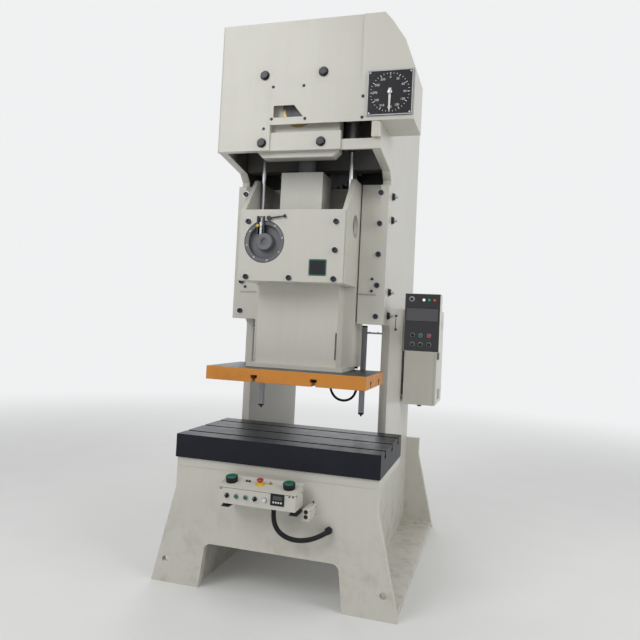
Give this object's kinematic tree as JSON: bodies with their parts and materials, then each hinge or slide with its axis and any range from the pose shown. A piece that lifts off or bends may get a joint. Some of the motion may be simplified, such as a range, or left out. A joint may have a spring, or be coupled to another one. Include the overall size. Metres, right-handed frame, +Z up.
{
  "type": "mechanical stamping press",
  "caption": "Open-front mechanical stamping press with a crank-driven slide, slotted bolster, flared base, dial, two-hand control box, operator panel and side cabinet.",
  "frame": {"origin": "on the floor, in the middle of the four anchor holes", "axes": "+Z up along the slide's travel, -Y towards the operator, +X to the operator's right"},
  "size_m": [1.814, 2.536, 4.2569],
  "materials": {
    "paint": "semi-gloss",
    "bolster_steel": "satin",
    "dark_steel": "blackened",
    "steel": "machined",
    "bronze": "machined",
    "orange": "semi-gloss",
    "grey_bar": "anodised",
    "black_plastic": "matt",
    "black_rubber": "matt",
    "white": "gloss",
    "green": "gloss",
    "red": "gloss"
  },
  "bodies": {
    "frame": {"left_side_plate": "paint", "right_side_plate": "paint", "crown_front_plate": "paint", "bearing_blocks": "paint", "gear_wall": "paint", "crown_top_plate": "paint", "rear_wall": "paint", "bed_plate": "paint", "base_front_plate": "paint", "base_rear_plate": "paint", "foot_plates": "paint", "bolster": "bolster_steel", "gibs": "paint", "frame_bolts": "dark_steel", "front_cover": "paint", "dial_face": "black_plastic", "motor": "paint", "motor_base": "paint", "drive_belts": "black_rubber", "belt_guard": "paint", "air_tank": "paint", "cabinet": "paint", "panel_arm": "paint", "operator_panel": "black_plastic", "control_box": "paint", "control_brackets": "black_plastic", "control_hose": "black_rubber", "light_bars": "grey_bar", "shaft_bushes": "bronze", "balancer_cylinders": "steel"},
    "crank": {"crankshaft": "steel", "main_gear": "steel"},
    "rod": {"connecting_rod": "steel"},
    "pinion": {"pinion_shaft": "steel", "clutch_unit": "dark_steel"},
    "flywheel": {"flywheel": "steel"},
    "motor_rotor": {"motor_pulley": "steel"},
    "pointer": {"dial_pointer": "white"},
    "slide": {"slide_body": "paint", "slide_front_cover": "paint", "slide_plate": "orange", "slide_bolts": "dark_steel", "adjuster_case": "dark_steel", "balancer_rods": "steel", "slide_hose": "black_rubber"},
    "lever": {"adjuster_lever": "dark_steel"},
    "door": {"cabinet_door": "paint"},
    "palm_button_left": {"palm_button_left": "green"},
    "palm_button_right": {"palm_button_right": "green"},
    "stop_button": {"stop_button": "red"},
    "mode_knob": {"mode_knob": "black_plastic"},
    "run_button_left": {"run_button_left": "green"},
    "run_button_right": {"run_button_right": "green"},
    "jog_knob": {"jog_knob": "black_plastic"},
    "reset_button": {"reset_button": "steel"},
    "panel_button_grey": {"panel_button_grey": "steel"},
    "panel_button_green": {"panel_button_green": "green"},
    "panel_button_red": {"panel_button_red": "red"},
    "panel_knob_left": {"panel_knob_left": "black_plastic"},
    "panel_knob_middle": {"panel_knob_middle": "black_plastic"}
  },
  "joints": [
    {"name": "crank_turn", "type": "hinge", "parent": "frame", "child": "crank", "pos_m": [0, -0.655, 3.24], "axis": [0, 1, 0], "continuous": true},
    {"name": "rod_turn", "type": "hinge", "parent": "crank", "child": "rod", "pos_m": [0, -0.655, 3.19], "axis": [0, 1, 0], "continuous": true},
    {"name": "pinion_turn", "type": "hinge", "parent": "frame", "child": "pinion", "pos_m": [0, 0, 2.68], "axis": [0, 1, 0], "continuous": true},
    {"name": "flywheel_turn", "type": "hinge", "parent": "frame", "child": "flywheel", "pos_m": [0, 1.08, 2.68], "axis": [0, 1, 0], "continuous": true},
    {"name": "motor_turn", "type": "hinge", "parent": "frame", "child": "motor_rotor", "pos_m": [0, 1.08, 4.077], "axis": [0, 1, 0], "continuous": true},
    {"name": "pointer_turn", "type": "hinge", "parent": "frame", "child": "pointer", "pos_m": [0.6305, -0.96, 3.303], "axis": [0, 1, 0], "continuous": true},
    {"name": "slide_travel", "type": "slide", "parent": "frame", "child": "slide", "axis": [0, 0, 1], "range_m": [0, 0.1]},
    {"name": "lever_swing", "type": "hinge", "parent": "slide", "child": "lever", "pos_m": [-0.158, -0.955, 2.484], "axis": [0, 1, 0], "range_deg": [-60, 10]},
    {"name": "door_swing", "type": "hinge", "parent": "frame", "child": "door", "pos_m": [0.861, 0.95, 1.55], "axis": [0, 0, 1], "range_deg": [0, 110]},
    {"name": "palm_button_left_press", "type": "slide", "parent": "frame", "child": "palm_button_left", "axis": [0, 0.2262, -0.9741], "range_m": [0, 0.007], "stiffness_N_per_m": 900, "springref_m": -0.003},
    {"name": "palm_button_right_press", "type": "slide", "parent": "frame", "child": "palm_button_right", "axis": [0, 0.2262, -0.9741], "range_m": [0, 0.007], "stiffness_N_per_m": 900, "springref_m": -0.003},
    {"name": "stop_button_press", "type": "slide", "parent": "frame", "child": "stop_button", "axis": [0, 0.2262, -0.9741], "range_m": [0, 0.005], "stiffness_N_per_m": 900, "springref_m": -0.003},
    {"name": "mode_knob_turn", "type": "hinge", "parent": "frame", "child": "mode_knob", "pos_m": [-0.221, -1.265, 0.6945], "axis": [0, 1, 0], "range_deg": [-45, 45]},
    {"name": "run_button_left_press", "type": "slide", "parent": "frame", "child": "run_button_left", "axis": [0, 1, 0], "range_m": [0, 0.004], "stiffness_N_per_m": 500, "springref_m": -0.002},
    {"name": "run_button_right_press", "type": "slide", "parent": "frame", "child": "run_button_right", "axis": [0, 1, 0], "range_m": [0, 0.004], "stiffness_N_per_m": 500, "springref_m": -0.002},
    {"name": "jog_knob_turn", "type": "hinge", "parent": "frame", "child": "jog_knob", "pos_m": [-0.035, -1.265, 0.6945], "axis": [0, 1, 0], "range_deg": [-45, 45]},
    {"name": "reset_button_press", "type": "slide", "parent": "frame", "child": "reset_button", "axis": [0, 1, 0], "range_m": [0, 0.004], "stiffness_N_per_m": 500, "springref_m": -0.002},
    {"name": "panel_button_grey_press", "type": "slide", "parent": "frame", "child": "panel_button_grey", "axis": [0, 1, 0], "range_m": [0, 0.004], "stiffness_N_per_m": 500, "springref_m": -0.002},
    {"name": "panel_button_green_press", "type": "slide", "parent": "frame", "child": "panel_button_green", "axis": [0, 1, 0], "range_m": [0, 0.004], "stiffness_N_per_m": 500, "springref_m": -0.002},
    {"name": "panel_button_red_press", "type": "slide", "parent": "frame", "child": "panel_button_red", "axis": [0, 1, 0], "range_m": [0, 0.004], "stiffness_N_per_m": 500, "springref_m": -0.002},
    {"name": "panel_knob_left_turn", "type": "hinge", "parent": "frame", "child": "panel_knob_left", "pos_m": [0.792, -0.565, 1.68], "axis": [0, 1, 0], "range_deg": [-45, 45]},
    {"name": "panel_knob_middle_turn", "type": "hinge", "parent": "frame", "child": "panel_knob_middle", "pos_m": [0.846, -0.565, 1.68], "axis": [0, 1, 0], "range_deg": [-45, 45]}
  ],
  "couplings": [
    {"joint": "rod_turn", "follows": "crank_turn", "ratio": -1},
    {"joint": "pinion_turn", "follows": "crank_turn", "ratio": -4},
    {"joint": "flywheel_turn", "follows": "crank_turn", "ratio": -4},
    {"joint": "motor_turn", "follows": "crank_turn", "ratio": -15.926},
    {"joint": "pointer_turn", "follows": "crank_turn", "ratio": 1}
  ]
}
